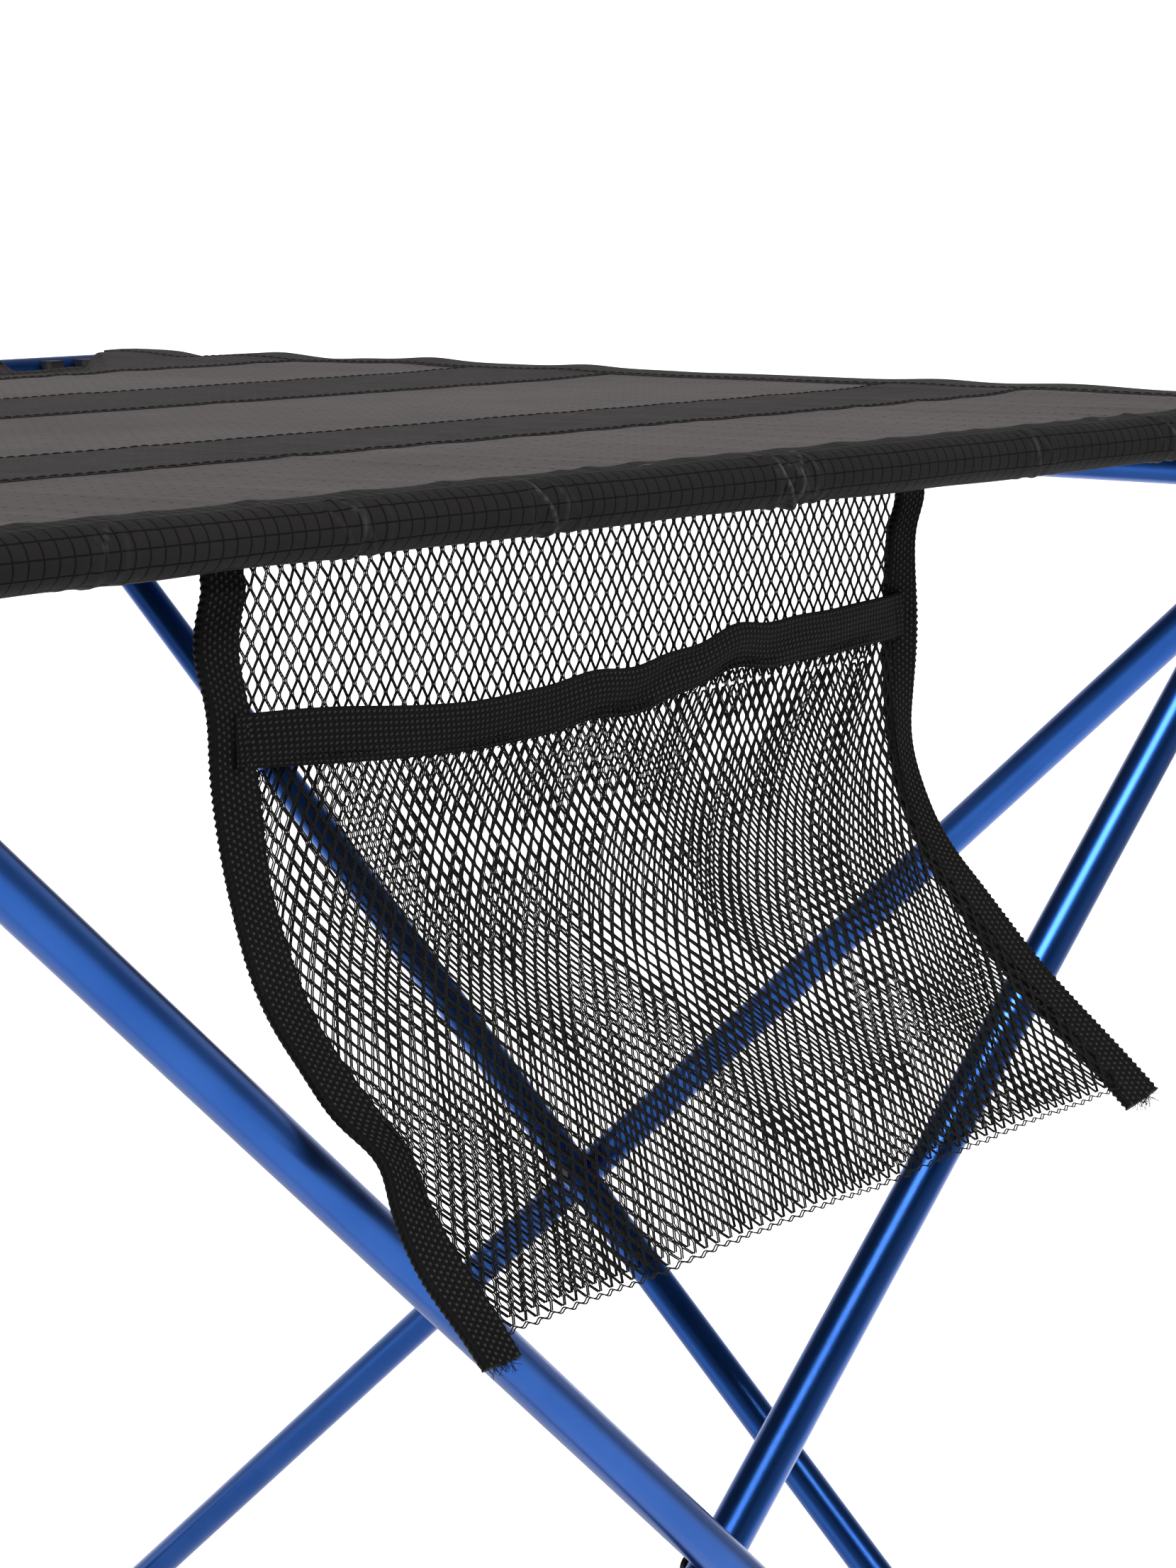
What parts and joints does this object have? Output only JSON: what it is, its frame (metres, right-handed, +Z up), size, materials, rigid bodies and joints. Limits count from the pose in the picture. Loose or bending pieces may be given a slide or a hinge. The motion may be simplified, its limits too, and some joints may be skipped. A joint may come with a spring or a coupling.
{
  "type": "folding camp table with mesh pocket",
  "caption": "Folding camp table: fabric top on poles over a square frame of crossed tube legs, with a mesh storage pocket hung under one edge.",
  "frame": {"origin": "bottom centre of the bounding box, on the floor", "axes": "+Z up, +X along the edge that carries the mesh pocket, +Y from that edge towards the opposite one"},
  "size_m": [0.86, 0.8588, 0.7284],
  "materials": {
    "blue_tube": "satin blue anodised aluminium tube",
    "black_plastic": "fine-grained moulded",
    "rivet_steel": "satin",
    "foot_rubber": "matt",
    "ripstop": "ripstop with a fine raised grid",
    "panel_cloth": "coated weave, low sheen",
    "net": "knitted mesh",
    "webbing": "ribbed webbing"
  },
  "bodies": {
    "top_hub_near_left_body": {"top_hub_near_left": "black_plastic", "top_hub_pins_near_left": "rivet_steel"},
    "leg_near_outer_body": {"leg_near_outer": "blue_tube", "leg_plugs_near_outer": "black_plastic", "crossing_rivet_near": "rivet_steel"},
    "leg_near_inner_body": {"leg_near_inner": "blue_tube", "leg_plugs_near_inner": "black_plastic"},
    "leg_right_outer_body": {"leg_right_outer": "blue_tube", "leg_plugs_right_outer": "black_plastic", "crossing_rivet_right": "rivet_steel"},
    "leg_right_inner_body": {"leg_right_inner": "blue_tube", "leg_plugs_right_inner": "black_plastic"},
    "leg_far_outer_body": {"leg_far_outer": "blue_tube", "leg_plugs_far_outer": "black_plastic", "crossing_rivet_far": "rivet_steel"},
    "leg_far_inner_body": {"leg_far_inner": "blue_tube", "leg_plugs_far_inner": "black_plastic"},
    "leg_left_outer_body": {"leg_left_outer": "blue_tube", "leg_plugs_left_outer": "black_plastic", "crossing_rivet_left": "rivet_steel"},
    "leg_left_inner_body": {"leg_left_inner": "blue_tube", "leg_plugs_left_inner": "black_plastic"},
    "top_hub_near_right_body": {"top_hub_near_right": "black_plastic", "top_hub_pins_near_right": "rivet_steel"},
    "top_hub_far_right_body": {"top_hub_far_right": "black_plastic", "top_hub_pins_far_right": "rivet_steel"},
    "top_hub_far_left_body": {"top_hub_far_left": "black_plastic", "top_hub_pins_far_left": "rivet_steel"},
    "foot_near_left_body": {"foot_hub_near_left": "black_plastic", "foot_hub_pins_near_left": "rivet_steel", "foot_pad_near_left": "foot_rubber"},
    "foot_near_right_body": {"foot_hub_near_right": "black_plastic", "foot_hub_pins_near_right": "rivet_steel", "foot_pad_near_right": "foot_rubber"},
    "foot_far_right_body": {"foot_hub_far_right": "black_plastic", "foot_hub_pins_far_right": "rivet_steel", "foot_pad_far_right": "foot_rubber"},
    "foot_far_left_body": {"foot_hub_far_left": "black_plastic", "foot_hub_pins_far_left": "rivet_steel", "foot_pad_far_left": "foot_rubber"},
    "fabric_top_body": {"long_pole_near": "blue_tube", "long_pole_far": "blue_tube", "spreader_bar_left": "blue_tube", "spreader_bar_right": "blue_tube", "tube_end_caps": "black_plastic", "spreader_clips": "black_plastic", "sleeve_near": "ripstop", "sleeve_far": "ripstop", "panel_near": "panel_cloth", "band_near": "ripstop", "panel_middle": "panel_cloth", "band_far": "ripstop", "panel_far": "panel_cloth", "band_rear": "ripstop", "end_hems": "ripstop", "pocket_back_net": "net", "pocket_front_net": "net", "pocket_opening_hem": "webbing", "pocket_bindings": "webbing"}
  },
  "joints": [
    {"name": "fold", "type": "hinge", "parent": "top_hub_near_left_body", "child": "leg_near_outer_body", "pos_m": [-0.3615, -0.35649, 0.67671], "axis": [0, 1, 0], "range_deg": [0, 44]},
    {"name": "near_crossing", "type": "hinge", "parent": "leg_near_outer_body", "child": "leg_near_inner_body", "pos_m": [0, -0.34819, 0.35235], "axis": [0, 1, 0], "range_deg": [-88, 0]},
    {"name": "top_hub_near_right_pin", "type": "hinge", "parent": "leg_near_inner_body", "child": "top_hub_near_right_body", "pos_m": [0.3615, -0.33989, 0.67671], "axis": [0, 1, 0], "range_deg": [0, 44]},
    {"name": "leg_right_outer_pin", "type": "hinge", "parent": "top_hub_near_right_body", "child": "leg_right_outer_body", "pos_m": [0.3858, -0.33219, 0.67671], "axis": [-1, 0, 0], "range_deg": [0, 44]},
    {"name": "right_crossing", "type": "hinge", "parent": "leg_right_outer_body", "child": "leg_right_inner_body", "pos_m": [0.3775, 0.02931, 0.35235], "axis": [-1, 0, 0], "range_deg": [-88, 0]},
    {"name": "top_hub_far_right_pin", "type": "hinge", "parent": "leg_right_inner_body", "child": "top_hub_far_right_body", "pos_m": [0.3692, 0.39081, 0.67671], "axis": [-1, 0, 0], "range_deg": [0, 44]},
    {"name": "leg_far_outer_pin", "type": "hinge", "parent": "top_hub_far_right_body", "child": "leg_far_outer_body", "pos_m": [0.3615, 0.41511, 0.67671], "axis": [0, -1, 0], "range_deg": [0, 44]},
    {"name": "leg_left_inner_pin", "type": "hinge", "parent": "top_hub_near_left_body", "child": "leg_left_inner_body", "pos_m": [-0.3692, -0.33219, 0.67671], "axis": [-1, 0, 0], "range_deg": [0, 44]},
    {"name": "left_crossing", "type": "hinge", "parent": "leg_left_inner_body", "child": "leg_left_outer_body", "pos_m": [-0.3775, 0.02931, 0.35235], "axis": [-1, 0, 0], "range_deg": [-88, 0]},
    {"name": "top_hub_far_left_pin", "type": "hinge", "parent": "leg_left_outer_body", "child": "top_hub_far_left_body", "pos_m": [-0.3858, 0.39081, 0.67671], "axis": [-1, 0, 0], "range_deg": [0, 44]},
    {"name": "leg_far_inner_pin", "type": "hinge", "parent": "top_hub_far_left_body", "child": "leg_far_inner_body", "pos_m": [-0.3615, 0.39851, 0.67671], "axis": [0, 1, 0], "range_deg": [0, 44]},
    {"name": "foot_near_right_pin", "type": "hinge", "parent": "leg_near_outer_body", "child": "foot_near_right_body", "pos_m": [0.3615, -0.35649, 0.028], "axis": [0, 1, 0], "range_deg": [-44, 0]},
    {"name": "foot_near_left_pin", "type": "hinge", "parent": "leg_near_inner_body", "child": "foot_near_left_body", "pos_m": [-0.3615, -0.33989, 0.028], "axis": [0, 1, 0], "range_deg": [0, 44]},
    {"name": "foot_far_right_pin", "type": "hinge", "parent": "leg_right_outer_body", "child": "foot_far_right_body", "pos_m": [0.3858, 0.39081, 0.028], "axis": [-1, 0, 0], "range_deg": [-44, 0]},
    {"name": "foot_far_left_pin", "type": "hinge", "parent": "leg_left_inner_body", "child": "foot_far_left_body", "pos_m": [-0.3692, 0.39081, 0.028], "axis": [-1, 0, 0], "range_deg": [-44, 0]},
    {"name": "top_lift_off", "type": "slide", "parent": "top_hub_near_left_body", "child": "fabric_top_body", "axis": [0, 0, 1], "range_m": [0, 0.72]}
  ],
  "couplings": [
    {"joint": "near_crossing", "follows": "fold", "ratio": -2},
    {"joint": "top_hub_near_right_pin", "follows": "fold", "ratio": 1},
    {"joint": "leg_right_outer_pin", "follows": "fold", "ratio": 1},
    {"joint": "right_crossing", "follows": "fold", "ratio": -2},
    {"joint": "top_hub_far_right_pin", "follows": "fold", "ratio": 1},
    {"joint": "leg_far_outer_pin", "follows": "fold", "ratio": 1},
    {"joint": "leg_left_inner_pin", "follows": "fold", "ratio": 1},
    {"joint": "left_crossing", "follows": "fold", "ratio": -2},
    {"joint": "top_hub_far_left_pin", "follows": "fold", "ratio": 1},
    {"joint": "leg_far_inner_pin", "follows": "fold", "ratio": 1},
    {"joint": "foot_near_right_pin", "follows": "fold", "ratio": -1},
    {"joint": "foot_near_left_pin", "follows": "fold", "ratio": 1},
    {"joint": "foot_far_right_pin", "follows": "fold", "ratio": -1},
    {"joint": "foot_far_left_pin", "follows": "fold", "ratio": -1},
    {"joint": "top_lift_off", "follows": "fold", "m_per_rad": 0.92}
  ]
}
